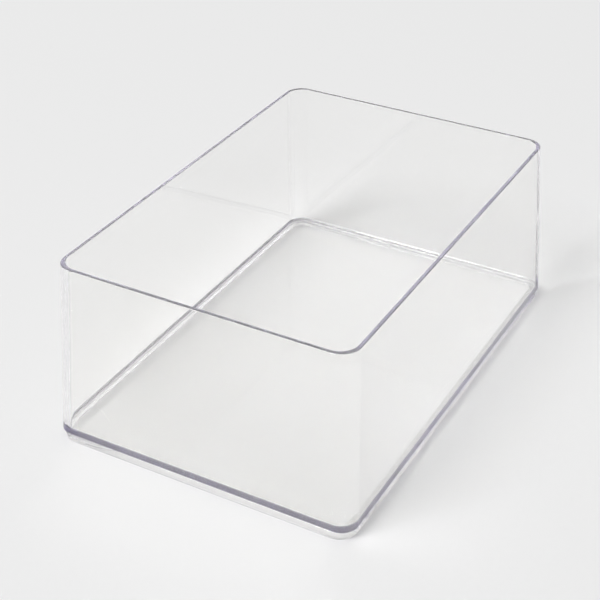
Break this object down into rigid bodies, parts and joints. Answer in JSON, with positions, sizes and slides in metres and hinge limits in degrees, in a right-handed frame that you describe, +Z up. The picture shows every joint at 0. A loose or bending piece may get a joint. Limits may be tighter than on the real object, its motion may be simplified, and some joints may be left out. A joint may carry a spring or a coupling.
{
  "type": "drawer organizer tray",
  "caption": "Clear rectangular open tray with drafted walls, rounded corners and rim, a flat floor and an inset stacking foot, for sorting small things in a drawer.",
  "frame": {"origin": "centre of the footprint, on the surface the tray stands on", "axes": "+Z up out of the open top, +Y along the long sides, +X along the short ends"},
  "size_m": [0.1534, 0.2286, 0.0787],
  "materials": {
    "clear_plastic": "clear, polished"
  },
  "bodies": {
    "root": {"wall_shell": "clear_plastic", "floor_plate": "clear_plastic", "stacking_foot": "clear_plastic"}
  },
  "joints": []
}
